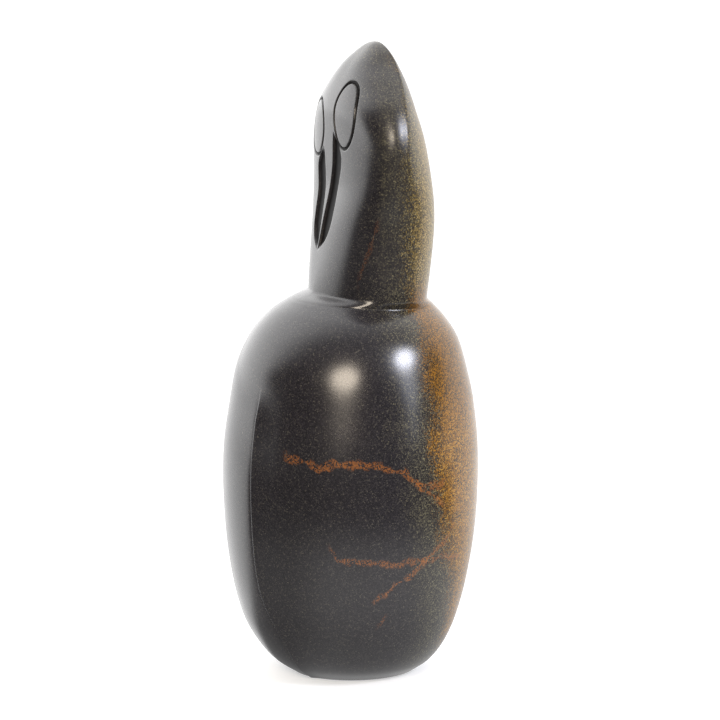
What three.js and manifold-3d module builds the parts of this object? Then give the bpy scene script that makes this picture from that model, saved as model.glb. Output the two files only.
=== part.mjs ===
// A polished soapstone bird, carved from one block: an egg-shaped body whose left wing laps over the breast, and
// a tall, wide-faced head with ring eyes and a beak left standing between two sunk channels.
// Millimetres, +Z up. The origin is on the floor under the middle of the box, the bird's front faces -Y, and
// its left side, with the lapping wing, is on +X.
import * as THREE from "three";
import { mergeVertices } from "three/addons/utils/BufferGeometryUtils.js";
import Module from "manifold-3d";

const wasm = await Module();
wasm.setup();

// Overall sizes
const HEIGHT = 240;
const NECK_HEIGHT = 145.4;
const NECK_SLOPE = -0.06; // rise of the neck crease for each millimetre towards the back
const NECK_MIDDLE = 7; // y at which the crease is at the neck's own height
const NECK_SLOPE_REACH = 24; // how far above and below the crease its slope fades out

// The head by depth below the crown: half width, then the y of the side ridge, of the brow and face, and of
// the nape, and how flat the face is across (2 is an ellipse).
const HEAD = [
  { depth: 0, side: 0, ridge: 9.8, front: 9.8, back: 9.8, flat: 3.1 },
  { depth: 3, side: 8.7, ridge: 11.4, front: 4.1, back: 13.5, flat: 3.1 },
  { depth: 8, side: 14.5, ridge: 12.4, front: -0.8, back: 16.3, flat: 3.3 },
  { depth: 15, side: 23.2, ridge: 11.4, front: -4.7, back: 19.3, flat: 2.8 },
  { depth: 24, side: 32, ridge: 9.4, front: -7.9, back: 22.1, flat: 2.4 },
  { depth: 36, side: 36.4, ridge: 8.3, front: -8.3, back: 26, flat: 2.6 },
  { depth: 52, side: 34.2, ridge: 9.1, front: -8.3, back: 28.6, flat: 3.3 },
  { depth: 70, side: 29.6, ridge: 9.8, front: -11.5, back: 30.3, flat: 2.7 },
  { depth: 96, side: 27.7, ridge: 8.6, front: -16, back: 27.5, flat: 1.55 },
];
const FACE_SQUARE = 0.4; // section power of the face: lower is squarer at its corners
const RIDGE_SHARP = 0.86; // section power of the back of the head where the side ridge is sharp
const RIDGE_ROUND = 0.5; // and where it has died away into an oval
const RIDGE_SHARP_DEPTH = 28;
const RIDGE_ROUND_DEPTH = 62;
const SIDE_TURN_IN = 1.2; // how far the flat in front of the side ridge turns in as it meets it
const SIDE_FLAT = THREE.MathUtils.degToRad(18); // how far round the flat reaches from the ridge
const SIDE_TURN_DEPTH = 16; // depth at which it is full

// The body by height: half width, and how far the breast and the back stand from the middle.
const BODY = [
  { height: 0, side: 21.4, front: 22, back: 24.2 },
  { height: 5, side: 30, front: 29.7, back: 30.4 },
  { height: 12, side: 36.4, front: 36, back: 35.5 },
  { height: 22, side: 41.8, front: 41.6, back: 39.7 },
  { height: 38, side: 46, front: 45.8, back: 43.9 },
  { height: 60, side: 48.8, front: 48.5, back: 47.2 },
  { height: 85, side: 49, front: 48.9, back: 48 },
  { height: 105, side: 46.5, front: 46.3, back: 46.2 },
  { height: 120, side: 43.3, front: 43.2, back: 42.9 },
  { height: 130, side: 39, front: 37.9, back: 39.8 },
  { height: 137, side: 33.2, front: 31, back: 35.7 },
  { height: 142, side: 26.3, front: 23.3, back: 31.6 },
];
const SHOULDER_START = 141.5; // above this the body's section turns into the head's, down at the crease

// The left wing's lapping edge down the front
const LAP_TOP = 114; // height at which the edge starts to show
const LAP_FULL = 100; // height below which it stands fully proud
const LAP_PROUD = 1.3;
const LAP_REACH = 0.22; // radians round the body over which the step dies away
const LAP_WALL = 0.006; // radians taken up by the step's wall
const LAP_TURN = THREE.MathUtils.degToRad(19); // how far round from the middle of the front the edge runs
const LAP_DRIFT = 6.6; // how far the edge bows further round, low down
const LAP_DRIFT_HEIGHT = 15.5;
const LAP_DRIFT_SPREAD = 15.5;

const FACE_MIDDLE = -2.6; // x of the middle of the carving on the face, a little to the bird's right
const RIGHT_DROP = 6.3; // how much lower than the left eye the right one is cut

// Ring eyes, in the view from the front
const EYE_ACROSS = 13.3; // from the middle of the face
const EYE_HEIGHT = 213.6;
const EYE_HALF_WIDTH = 8;
const EYE_HALF_HEIGHT = 12.4;
const RIGHT_EYE_HALF_HEIGHT = 10.7;
const EYE_LEAN = THREE.MathUtils.degToRad(5); // the top leans in towards the beak
const RING_WIDTH = 1.5;
const RING_FLOOR_WIDTH = 0.6;
const RING_DEPTH = 0.9;

// The beak's two channels: inner and outer edge across from the middle, by height
const CHANNEL = [
  { height: 161.6, inner: 0.12, outer: 0.6 },
  { height: 163.5, inner: 0.25, outer: 3 },
  { height: 166.5, inner: 0.4, outer: 6 },
  { height: 171.5, inner: 0.6, outer: 8.4 },
  { height: 178, inner: 1, outer: 9.2 },
  { height: 185.5, inner: 1.8, outer: 9.6 },
  { height: 190, inner: 2.4, outer: 10.5 },
  { height: 194, inner: 3.2, outer: 11.6 },
  { height: 198, inner: 3.8, outer: 12 },
  { height: 202, inner: 4.2, outer: 10.2 },
  { height: 204, inner: 4.3, outer: 8 },
  { height: 207, inner: 4.4, outer: 5.2 },
];
const CHANNEL_DEPTH = 1.2;
const CHANNEL_END_DEPTH = 0.15;
const CHANNEL_RAMP = 5; // height over which the floor comes up at each end
const CHANNEL_WALL = 0.12; // share of the width that each sloping wall takes

// Facets
const COLUMNS = 56; // around the stone
const BODY_RINGS = 20;
const SHOULDER_RINGS = 4;
const HEAD_RINGS = 20;
const CROWN_CROWDING = 1.7; // rings crowd towards the crown by this power
const EYE_STEPS = 36;
const CHANNEL_STEPS = 24;
const CUTTER_PROUD = 1; // how far a cutter stands out of the stone

const STONE_COLOUR = 0x35322f;
const STONE_ROUGHNESS = 0.25;

// A smooth step from 0 at a to 1 at b.
function smooth(a, b, value) {
  const u = THREE.MathUtils.clamp((value - a) / (b - a), 0, 1);
  return u * u * (3 - 2 * u);
}

// The value of one size at a place between stations, on a smooth curve through all of them.
function through(stations, key, size, place, measure = (v) => v) {
  const at = stations.map((s) => measure(s[key]));
  const value = stations.map((s) => s[size]);
  const last = at.length - 1;
  const x = measure(place);
  const slope = (i) => {
    const a = Math.max(i - 1, 0);
    const b = Math.min(i + 1, last);
    return (value[b] - value[a]) / (at[b] - at[a]);
  };
  let i = 0;
  while (i < last - 1 && x > at[i + 1]) i += 1;
  const h = at[i + 1] - at[i];
  const u = (x - at[i]) / h;
  const v = 1 - u;
  return (
    (1 + 2 * u) * v * v * value[i] +
    u * v * v * h * slope(i) +
    u * u * (3 - 2 * u) * value[i + 1] -
    u * u * v * h * slope(i + 1)
  );
}

// The share of the side flat's turn at an angle: 1 at the ridge, gone at the flat's front edge and at the nape.
function sideFlat(angle) {
  const fromRidge = Math.abs(Math.asin(Math.sin(angle)));
  if (Math.sin(angle) > 0) return 1 - fromRidge / (Math.PI / 2);
  return Math.max(1 - fromRidge / SIDE_FLAT, 0) ** 2;
}

// A point of the head at a depth below the crown and an angle round it: -90 degrees is the middle of the face.
function headPoint(depth, angle) {
  const size = (name) => through(HEAD, "depth", name, depth, Math.sqrt);
  const across = Math.cos(angle);
  const roundness = smooth(RIDGE_SHARP_DEPTH, RIDGE_ROUND_DEPTH, depth);
  const facing = Math.sin(angle) < 0;
  const power = facing ? FACE_SQUARE : THREE.MathUtils.lerp(RIDGE_SHARP, RIDGE_ROUND, roundness);
  const bulge = facing ? 1 - Math.abs(across) ** size("flat") : Math.sin(angle) ** 2;
  const reach = size(facing ? "front" : "back") - size("ridge");
  const turnIn = SIDE_TURN_IN * (1 - roundness) * smooth(0, SIDE_TURN_DEPTH, depth) * sideFlat(angle);
  return new THREE.Vector3(
    size("side") * across - Math.sign(across) * turnIn,
    size("ridge") + reach * Math.max(bulge, 0) ** power,
    HEIGHT - depth,
  );
}

// The angle of the lapping edge at a height. Above the edge's top it turns back to the middle of the face.
function lapAngle(height) {
  const bow = Math.exp(-(((height - LAP_DRIFT_HEIGHT) / LAP_DRIFT_SPREAD) ** 2));
  const side = through(BODY, "height", "side", Math.min(height, SHOULDER_START));
  const turn = LAP_TURN * (1 - smooth(LAP_TOP, NECK_HEIGHT, height));
  return -Math.PI / 2 + turn + (LAP_DRIFT * bow) / side;
}

// A point of the body at a height and an angle, without the lapping edge.
function bodyPoint(height, angle) {
  const size = (name) => through(BODY, "height", name, height);
  const middle = (size("back") - size("front")) / 2;
  const reach = (size("back") + size("front")) / 2;
  return new THREE.Vector3(size("side") * Math.cos(angle), middle + reach * Math.sin(angle), height);
}

// How proud the left wing stands at a height and an angle.
function lapProud(height, angle) {
  const past = angle - lapAngle(height);
  if (past < 0 || past > LAP_REACH) return 0;
  return LAP_PROUD * smooth(LAP_TOP, LAP_FULL, height) * (1 - past / LAP_REACH) ** 2;
}

// The shoulder runs from the body's section, at share 0, to the head's own section in the crease, at share 1.
function shoulderPoint(share, angle) {
  const height = THREE.MathUtils.lerp(SHOULDER_START, NECK_HEIGHT, share);
  const lastStation = BODY[BODY.length - 1].height;
  const body = bodyPoint(Math.min(height, lastStation), angle);
  const crease = headPoint(HEIGHT - NECK_HEIGHT, angle);
  const point = body.lerp(crease, smooth(0, 1, share));
  point.z = height;
  return point;
}

// Tilts a level ring near the neck, so that the crease runs down towards the back.
function tiltAtNeck(point) {
  const share = 1 - smooth(0, NECK_SLOPE_REACH, Math.abs(point.z - NECK_HEIGHT));
  point.z += share * NECK_SLOPE * (point.y - NECK_MIDDLE);
  return point;
}

// The angles of a ring's columns. The first two are the foot and the lip of the lapping edge's wall, which
// part to a whole column's spacing above the edge's top.
function columnAngles(height) {
  const lap = lapAngle(height);
  const evenGap = (2 * Math.PI) / COLUMNS;
  const gap = THREE.MathUtils.lerp(LAP_WALL, evenGap, smooth(LAP_TOP, NECK_HEIGHT, height));
  const angles = [lap - gap];
  for (let i = 0; i < COLUMNS - 1; i += 1) {
    angles.push(lap + (i / (COLUMNS - 1)) * (2 * Math.PI - gap));
  }
  return angles;
}

// The rings of the whole stone, from the floor to just under the crown.
function stoneRings() {
  const rings = [];
  for (let i = 0; i <= BODY_RINGS; i += 1) {
    const height = SHOULDER_START * (0.5 - 0.5 * Math.cos((Math.PI * i) / BODY_RINGS));
    rings.push(
      columnAngles(height).map((angle) => {
        const point = bodyPoint(height, angle);
        const out = lapProud(height, angle) / Math.hypot(point.x, point.y);
        return tiltAtNeck(point.multiply(new THREE.Vector3(1 + out, 1 + out, 1)));
      }),
    );
  }
  for (let i = 1; i <= SHOULDER_RINGS; i += 1) {
    const share = i / SHOULDER_RINGS;
    rings.push(columnAngles(NECK_HEIGHT).map((angle) => tiltAtNeck(shoulderPoint(share, angle))));
  }
  for (let i = 1; i < HEAD_RINGS; i += 1) {
    const depth = (HEIGHT - NECK_HEIGHT) * (1 - i / HEAD_RINGS) ** CROWN_CROWDING;
    rings.push(columnAngles(HEIGHT).map((angle) => tiltAtNeck(headPoint(depth, angle))));
  }
  return rings;
}

// A closed shell of rings of equal count. Its ends are closed by fans about the two end points.
function shellOfRings(rings, start, end) {
  const count = rings[0].length;
  const points = [...rings.flat(), start, end];
  const faces = [];
  for (let r = 0; r + 1 < rings.length; r += 1) {
    for (let c = 0; c < count; c += 1) {
      const a = r * count + c;
      const b = r * count + ((c + 1) % count);
      faces.push(a, b, b + count, a, b + count, a + count);
    }
  }
  const top = (rings.length - 1) * count;
  for (let c = 0; c < count; c += 1) {
    const next = (c + 1) % count;
    faces.push(points.length - 2, next, c);
    faces.push(points.length - 1, top + c, top + next);
  }
  return geometryOf(points, faces);
}

// A closed loop of sections, such as a ring that bites its tail.
function loopOfSections(sections) {
  const count = sections[0].length;
  const faces = [];
  for (let s = 0; s < sections.length; s += 1) {
    const here = s * count;
    const there = ((s + 1) % sections.length) * count;
    for (let c = 0; c < count; c += 1) {
      const next = (c + 1) % count;
      faces.push(here + c, here + next, there + next, here + c, there + next, there + c);
    }
  }
  return geometryOf(sections.flat(), faces);
}

function geometryOf(points, faces) {
  const geometry = new THREE.BufferGeometry().setFromPoints(points);
  geometry.setIndex(faces);
  return geometry;
}

// A solid for joining and cutting. A shell that came out inside out is turned round.
function solidOf(geometry) {
  const merged = mergeVertices(geometry, 1e-4);
  const build = (triVerts) =>
    new wasm.Manifold(
      new wasm.Mesh({ numProp: 3, vertProperties: merged.attributes.position.array, triVerts }),
    );
  const solid = build(new Uint32Array(merged.index.array));
  return solid.volume() > 0 ? solid : build(new Uint32Array(merged.index.array).reverse());
}

// The point of the face that is seen from the front at x and z, and the stone's outward direction there.
function facePoint(x, z) {
  const depth = HEIGHT - z;
  const side = through(HEAD, "depth", "side", depth, Math.sqrt);
  const angle = -Math.acos(THREE.MathUtils.clamp(x / side, -1, 1));
  return headPoint(depth, angle);
}

function faceNormal(x, z) {
  const step = 0.2;
  const across = facePoint(x + step, z).sub(facePoint(x - step, z));
  const up = facePoint(x, z + step).sub(facePoint(x, z - step));
  return across.cross(up).normalize();
}

// The eye's outline in the view from the front, at a turn and a distance out from the ring's middle line.
function eyeOutline(hand, turn, out) {
  const halfHeight = hand > 0 ? EYE_HALF_HEIGHT : RIGHT_EYE_HALF_HEIGHT;
  const along = Math.sin(turn) * (halfHeight + out);
  const aside = Math.cos(turn) * (EYE_HALF_WIDTH + out);
  const x = EYE_ACROSS + aside * Math.cos(EYE_LEAN) - along * Math.sin(EYE_LEAN);
  const height = hand > 0 ? EYE_HEIGHT : EYE_HEIGHT - RIGHT_DROP;
  const z = height + along * Math.cos(EYE_LEAN) + aside * Math.sin(EYE_LEAN);
  return { x: FACE_MIDDLE + hand * x, z };
}

// The cutter of one eye's ring: a closed band with a wide mouth and a narrow floor.
function ringCutter(hand) {
  const corners = [
    { out: RING_WIDTH / 2, deep: -CUTTER_PROUD },
    { out: RING_WIDTH / 2, deep: 0 },
    { out: RING_FLOOR_WIDTH / 2, deep: RING_DEPTH },
    { out: -RING_FLOOR_WIDTH / 2, deep: RING_DEPTH },
    { out: -RING_WIDTH / 2, deep: 0 },
    { out: -RING_WIDTH / 2, deep: -CUTTER_PROUD },
  ];
  const sections = [];
  for (let i = 0; i < EYE_STEPS; i += 1) {
    const turn = (i / EYE_STEPS) * 2 * Math.PI;
    sections.push(
      corners.map(({ out, deep }) => {
        const { x, z } = eyeOutline(hand, turn, out);
        return facePoint(x, z).addScaledVector(faceNormal(x, z), -deep);
      }),
    );
  }
  return solidOf(loopOfSections(sections));
}

// The cutter of one channel beside the beak, from its tip up to the eye.
function channelCutter(hand) {
  const low = CHANNEL[0].height;
  const high = CHANNEL[CHANNEL.length - 1].height;
  const sections = [];
  for (let i = 0; i <= CHANNEL_STEPS; i += 1) {
    const share = i / CHANNEL_STEPS;
    const z = THREE.MathUtils.lerp(low, high, share);
    const drop = hand > 0 ? 0 : RIGHT_DROP * share;
    const inner = through(CHANNEL, "height", "inner", z);
    const outer = through(CHANNEL, "height", "outer", z);
    const ends = smooth(low, low + CHANNEL_RAMP, z) * (1 - smooth(high - CHANNEL_RAMP, high, z));
    const floor = THREE.MathUtils.lerp(CHANNEL_END_DEPTH, CHANNEL_DEPTH, ends);
    const wall = CHANNEL_WALL * (outer - inner);
    const corners = [
      { x: outer, deep: -CUTTER_PROUD },
      { x: outer, deep: 0 },
      { x: outer - wall, deep: floor },
      { x: inner + wall, deep: floor },
      { x: inner, deep: 0 },
      { x: inner, deep: -CUTTER_PROUD },
    ];
    sections.push(
      corners.map(({ x, deep }) =>
        facePoint(FACE_MIDDLE + hand * x, z - drop).addScaledVector(new THREE.Vector3(0, -1, 0), -deep),
      ),
    );
  }
  return solidOf(shellOfRings(sections, middleOf(sections[0]), middleOf(sections[CHANNEL_STEPS])));
}

function middleOf(points) {
  const sum = points.reduce((total, point) => total.add(point), new THREE.Vector3());
  return sum.divideScalar(points.length);
}

const floorMiddle = new THREE.Vector3(0, 0, 0);
const crown = new THREE.Vector3(0, HEAD[0].ridge, HEIGHT);
let stone = solidOf(shellOfRings(stoneRings(), floorMiddle, crown));
for (const hand of [1, -1]) {
  stone = stone.subtract(ringCutter(hand)).subtract(channelCutter(hand));
}

const cut = stone.getMesh();
const geometry = new THREE.BufferGeometry();
geometry.setAttribute("position", new THREE.BufferAttribute(new Float32Array(cut.vertProperties), 3));
geometry.setIndex(new THREE.BufferAttribute(new Uint32Array(cut.triVerts), 1));
geometry.computeVertexNormals();
geometry.computeBoundingBox();
const middle = geometry.boundingBox.getCenter(new THREE.Vector3());
geometry.translate(-middle.x, -middle.y, 0);

const carving = new THREE.Mesh(
  geometry,
  new THREE.MeshStandardMaterial({ color: STONE_COLOUR, roughness: STONE_ROUGHNESS, metalness: 0 }),
);
carving.name = "bird_carving";

const bird = new THREE.Group();
bird.add(carving);
export default bird;
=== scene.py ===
"""A polished soapstone bird carving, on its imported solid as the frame.

The stone's form follows the same named sizes as the solid: an egg-shaped body with a lapping wing edge, and a
tall leaning head with ring eyes and a beak left standing between two sunk channels. Lengths are in
millimetres until the mesh is made, +Z is up, and the bird's front faces -Y.
"""

import logging
import math
from dataclasses import dataclass
from enum import Enum
from functools import partial
from typing import NamedTuple

import bpy
import numpy as np
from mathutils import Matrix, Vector
from mathutils.geometry import delaunay_2d_cdt


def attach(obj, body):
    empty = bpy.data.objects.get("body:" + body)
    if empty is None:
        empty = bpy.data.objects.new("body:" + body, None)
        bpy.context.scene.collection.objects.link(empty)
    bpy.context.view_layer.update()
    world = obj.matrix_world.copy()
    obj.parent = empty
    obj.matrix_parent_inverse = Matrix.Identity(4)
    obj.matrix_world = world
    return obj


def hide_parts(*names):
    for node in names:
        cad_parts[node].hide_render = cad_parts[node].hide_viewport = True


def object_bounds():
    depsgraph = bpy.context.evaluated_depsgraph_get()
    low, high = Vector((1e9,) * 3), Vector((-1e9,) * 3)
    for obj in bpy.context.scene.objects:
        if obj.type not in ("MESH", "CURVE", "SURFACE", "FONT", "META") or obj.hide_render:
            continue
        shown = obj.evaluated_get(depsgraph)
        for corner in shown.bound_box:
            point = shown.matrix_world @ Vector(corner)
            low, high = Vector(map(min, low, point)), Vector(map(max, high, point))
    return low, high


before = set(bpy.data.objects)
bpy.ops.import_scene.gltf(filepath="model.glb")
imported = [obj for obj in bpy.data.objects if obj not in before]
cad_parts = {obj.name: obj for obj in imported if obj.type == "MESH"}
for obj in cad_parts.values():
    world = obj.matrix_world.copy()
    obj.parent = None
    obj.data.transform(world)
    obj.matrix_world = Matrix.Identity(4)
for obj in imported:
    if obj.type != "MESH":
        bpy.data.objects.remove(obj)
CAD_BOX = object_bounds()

log = logging.getLogger("bird_carving")

Floats = np.ndarray
Facets = list[tuple[int, ...]]

MM = 0.001  # one millimetre in metres
WHITE = (1.0, 1.0, 1.0, 1.0)
FACE_MIDDLE = -2.6  # x of the middle of the carving on the face, in millimetres
RIGHT_DROP = 6.3  # how much lower than the left eye the right one is cut


def smooth(start: float, end: float, value: Floats) -> Floats:
    """Eases from 0 at start to 1 at end.

    Args:
        start: Where the step begins.
        end: Where the step is complete.
        value: The places asked for.

    Returns:
        The eased share at each place.
    """
    u = np.clip((value - start) / (end - start), 0.0, 1.0)
    return u * u * (3.0 - 2.0 * u)


def through(at: Floats, value: Floats, place: Floats) -> Floats:
    """Reads a smooth curve that goes through every station.

    Args:
        at: The stations' places, rising.
        value: The size at each station.
        place: Where the size is wanted.

    Returns:
        The size at each place.
    """
    slope = np.empty_like(value)
    slope[1:-1] = (value[2:] - value[:-2]) / (at[2:] - at[:-2])
    slope[0] = (value[1] - value[0]) / (at[1] - at[0])
    slope[-1] = (value[-1] - value[-2]) / (at[-1] - at[-2])
    i = np.clip(np.searchsorted(at, place) - 1, 0, len(at) - 2)
    gap = at[i + 1] - at[i]
    u = (place - at[i]) / gap
    v = 1.0 - u
    return (
        (1.0 + 2.0 * u) * v * v * value[i]
        + u * v * v * gap * slope[i]
        + u * u * (3.0 - 2.0 * u) * value[i + 1]
        - u * u * v * gap * slope[i + 1]
    )


class Hand(Enum):
    """The bird's own left, on +X, and its right."""

    LEFT = 1
    RIGHT = -1


@dataclass(frozen=True)
class StoneForm:
    """The smooth form of the whole stone, before anything is cut into it."""

    height: float = 240.0
    neck_height: float = 145.4
    neck_slope: float = -0.06  # rise of the crease for each millimetre towards the back
    neck_middle: float = 7.0  # y at which the crease is at the neck's own height
    neck_slope_reach: float = 24.0
    shoulder_start: float = 141.5
    # depth below the crown, half width, y of the side ridge, of the face and of the nape, and flatness across
    head: tuple[tuple[float, ...], ...] = (
        (0, 0, 9.8, 9.8, 9.8, 3.1),
        (3, 8.7, 11.4, 4.1, 13.5, 3.1),
        (8, 14.5, 12.4, -0.8, 16.3, 3.3),
        (15, 23.2, 11.4, -4.7, 19.3, 2.8),
        (24, 32, 9.4, -7.9, 22.1, 2.4),
        (36, 36.4, 8.3, -8.3, 26, 2.6),
        (52, 34.2, 9.1, -8.3, 28.6, 3.3),
        (70, 29.6, 9.8, -11.5, 30.3, 2.7),
        (96, 27.7, 8.6, -16, 27.5, 1.55),
    )
    # height, half width, and how far the breast and the back stand from the middle
    body: tuple[tuple[float, ...], ...] = (
        (0, 21.4, 22, 24.2),
        (5, 30, 29.7, 30.4),
        (12, 36.4, 36, 35.5),
        (22, 41.8, 41.6, 39.7),
        (38, 46, 45.8, 43.9),
        (60, 48.8, 48.5, 47.2),
        (85, 49, 48.9, 48),
        (105, 46.5, 46.3, 46.2),
        (120, 43.3, 43.2, 42.9),
        (130, 39, 37.9, 39.8),
        (137, 33.2, 31, 35.7),
        (142, 26.3, 23.3, 31.6),
    )
    face_square: float = 0.4  # section power of the face: lower is squarer at its corners
    ridge_sharp: float = 0.86  # section power of the back of the head where the side ridge is sharp
    ridge_round: float = 0.5  # and where it has died away into an oval
    ridge_sharp_depth: float = 28.0
    ridge_round_depth: float = 62.0
    side_turn_in: float = 1.2  # how far the flat in front of the side ridge turns in as it meets it
    side_flat: float = math.radians(18)  # how far round the flat reaches from the ridge
    side_turn_depth: float = 16.0  # depth at which it is full

    def head_size(self, column: int, depth: Floats) -> Floats:
        """Returns one column of the head's stations at depths below the crown."""
        stations = np.array(self.head, float)
        return through(np.sqrt(stations[:, 0]), stations[:, column], np.sqrt(np.maximum(depth, 0.0)))

    def body_size(self, column: int, height: Floats) -> Floats:
        """Returns one column of the body's stations at heights above the floor."""
        stations = np.array(self.body, float)
        return through(stations[:, 0], stations[:, column], height)

    def _head_point(self, depth: Floats, angle: Floats) -> Floats:
        """Finds points of the head.

        Args:
            depth: Depths below the crown.
            angle: Angles round it. Minus a quarter turn is the middle of the face.

        Returns:
            The x, y and z of each point.
        """
        side, ridge, front, back, flat = (self.head_size(i, depth) for i in range(1, 6))
        across = np.cos(angle)
        roundness = smooth(self.ridge_sharp_depth, self.ridge_round_depth, depth)
        facing = np.sin(angle) < 0
        behind = self.ridge_sharp + (self.ridge_round - self.ridge_sharp) * roundness
        power = np.where(facing, self.face_square, behind)
        bulge = np.where(facing, 1.0 - np.abs(across) ** flat, np.sin(angle) ** 2)
        reach = np.where(facing, front, back) - ridge
        y = ridge + reach * np.maximum(bulge, 0.0) ** power
        from_ridge = np.abs(np.arcsin(np.clip(np.sin(angle), -1.0, 1.0)))
        ahead = np.clip(1 - from_ridge / self.side_flat, 0, 1) ** 2
        flat = np.where(facing, ahead, 1 - from_ridge / (math.pi / 2))
        turn_in = self.side_turn_in * (1 - roundness) * smooth(0.0, self.side_turn_depth, depth) * flat
        return np.stack([side * across - np.sign(across) * turn_in, y, self.height - depth], axis=-1)

    def point(self, height: Floats, angle: Floats) -> Floats:
        """Finds points of the whole stone.

        Args:
            height: Heights above the floor.
            angle: Angles round the stone.

        Returns:
            The x, y and z of each point.
        """
        in_body = np.minimum(height, self.body[-1][0])
        side, front, back = (self.body_size(i, in_body) for i in range(1, 4))
        y = (back - front) / 2 + (back + front) / 2 * np.sin(angle)
        body = np.stack([side * np.cos(angle), y, in_body], axis=-1)
        head = self._head_point(self.height - np.maximum(height, self.neck_height), angle)
        share = smooth(self.shoulder_start, self.neck_height, height)[..., None]
        found = body + (head - body) * share
        found[..., 2] = height
        tilt = 1.0 - smooth(0.0, self.neck_slope_reach, np.abs(height - self.neck_height))
        found[..., 2] += tilt * self.neck_slope * (found[..., 1] - self.neck_middle)
        return found

    def outward(self, height: Floats, angle: Floats) -> Floats:
        """Finds the direction out of the stone.

        Args:
            height: Heights above the floor.
            angle: Angles round the stone.

        Returns:
            A direction of length 1 at each point.
        """
        rise, turn = 0.05, 0.003
        up = self.point(np.minimum(height + rise, self.height), angle) - self.point(height - rise, angle)
        round_ = self.point(height, angle + turn) - self.point(height, angle - turn)
        out = np.cross(round_, up)
        return out / np.maximum(np.linalg.norm(out, axis=-1, keepdims=True), 1e-12)


@dataclass(frozen=True)
class LapEdge:
    """The left wing's edge down the front, which laps over the breast."""

    top: float = 114.0
    full: float = 100.0
    proud: float = 1.3
    reach: float = 0.22  # radians over which the step dies away
    wall: float = 0.12  # millimetres taken up by the step's wall
    lip_radius: float = 0.65
    hollow: float = 0.35  # how deep the far side dips at the foot of the step
    hollow_reach: float = 1.3
    turn: float = math.radians(19)  # how far round from the middle of the front the edge runs
    drift: float = 6.6  # how far the edge bows further round, low down
    drift_height: float = 15.5
    drift_spread: float = 15.5

    def angle(self, form: StoneForm, height: Floats) -> Floats:
        """Finds the edge's angle round the stone. Above its top it turns back to the middle of the face.

        Args:
            form: The stone.
            height: Heights above the floor.

        Returns:
            The angle at each height.
        """
        bow = np.exp(-(((height - self.drift_height) / self.drift_spread) ** 2))
        side = form.body_size(1, np.minimum(height, form.shoulder_start))
        turn = self.turn * (1 - smooth(self.top, form.neck_height, height))
        return -math.pi / 2 + turn + self.drift * bow / side

    def step(self, height: Floats, turn: Floats, radius: Floats) -> Floats:
        """Finds how far the stone stands proud, or is hollowed, beside the edge.

        Args:
            height: Heights above the floor.
            turn: Turns past the edge, positive on the near side.
            radius: How far each point is from the middle.

        Returns:
            Millimetres outwards.
        """
        strength = smooth(self.top, self.full, height)
        near = np.clip(1.0 - turn / self.reach, 0.0, 1.0) ** 2 * (turn >= 0)
        along = np.clip(turn * radius, 0.0, self.lip_radius)
        lip = self.lip_radius - np.sqrt(
            np.maximum(self.lip_radius**2 - (self.lip_radius - along) ** 2, 0.0)
        )
        far = np.exp(-((turn * radius / self.hollow_reach) ** 2)) * (turn < 0)
        return strength * (self.proud * near - lip * (turn >= 0) - self.hollow * far)


@dataclass(frozen=True)
class RingEye:
    """An upright oval cut round by a ring, in the view from the front."""

    across: float = 13.3  # from the middle of the face
    height: float = 213.6
    half_width: float = 8.0
    half_height: float = 12.4
    right_half_height: float = 10.7
    lean: float = math.radians(5)  # the top leans in towards the beak
    # distance from the ring's middle line, and the ring's depth there
    profile: tuple[tuple[float, float], ...] = (
        (0.0, 0.92),
        (0.25, 0.88),
        (0.42, 0.7),
        (0.68, 0.16),
        (0.8, 0.06),
        (0.95, 0.015),
        (1.15, 0.0),
    )
    point_spacing: float = 0.42
    least_half_width: float = 0.2  # of the smallest oval that a point inside the eye is measured to
    farthest: float = 40.0
    halvings: int = 40

    def outline(self, hand: Hand, out: float) -> Floats:
        """Finds a closed line round the eye.

        Args:
            hand: Which eye.
            out: The line's distance out from the ring's middle line.

        Returns:
            The x and z of each point.
        """
        half_height = self.half_height if hand is Hand.LEFT else self.right_half_height
        wide, tall = self.half_width + out, half_height + out
        count = int(2 * math.pi * math.hypot(wide, tall) / math.sqrt(2) / self.point_spacing)
        turn = np.arange(count) / count * 2 * math.pi
        along, aside = np.sin(turn) * tall, np.cos(turn) * wide
        x = self.across + aside * math.cos(self.lean) - along * math.sin(self.lean)
        height = self.height if hand is Hand.LEFT else self.height - RIGHT_DROP
        z = height + along * math.cos(self.lean) + aside * math.sin(self.lean)
        return np.stack([FACE_MIDDLE + hand.value * x, z], axis=-1)

    def lines(self) -> list[Floats]:
        """Returns every closed line that the ring's shape needs, for both eyes."""
        outs = [distance * side for distance, _ in self.profile for side in (1, -1)][1:]
        return [self.outline(hand, out) for hand in Hand for out in outs]

    def out(self, x: Floats, z: Floats) -> Floats:
        """Measures how far points are out from the nearer eye's middle line.

        Args:
            x: Their places across.
            z: Their heights.

        Returns:
            Millimetres outwards, negative inside the oval.
        """
        dx = np.abs(x - FACE_MIDDLE) - self.across
        on_left = x > FACE_MIDDLE
        dz = z - np.where(on_left, self.height, self.height - RIGHT_DROP)
        half_height = np.where(on_left, self.half_height, self.right_half_height)
        aside = dx * math.cos(self.lean) + dz * math.sin(self.lean)
        along = dz * math.cos(self.lean) - dx * math.sin(self.lean)
        low = np.full(np.shape(x), self.least_half_width - self.half_width)
        high = np.full(np.shape(x), self.farthest)
        for _ in range(self.halvings):
            middle = (low + high) / 2
            outside = (along / (half_height + middle)) ** 2 + (aside / (self.half_width + middle)) ** 2 > 1
            low = np.where(outside, middle, low)
            high = np.where(outside, high, middle)
        return (low + high) / 2

    def depth(self, x: Floats, z: Floats) -> Floats:
        """Returns how deep the ring is cut at places across and heights."""
        distance, depth = zip(*self.profile)
        return np.interp(np.abs(self.out(x, z)), distance, depth)


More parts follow.
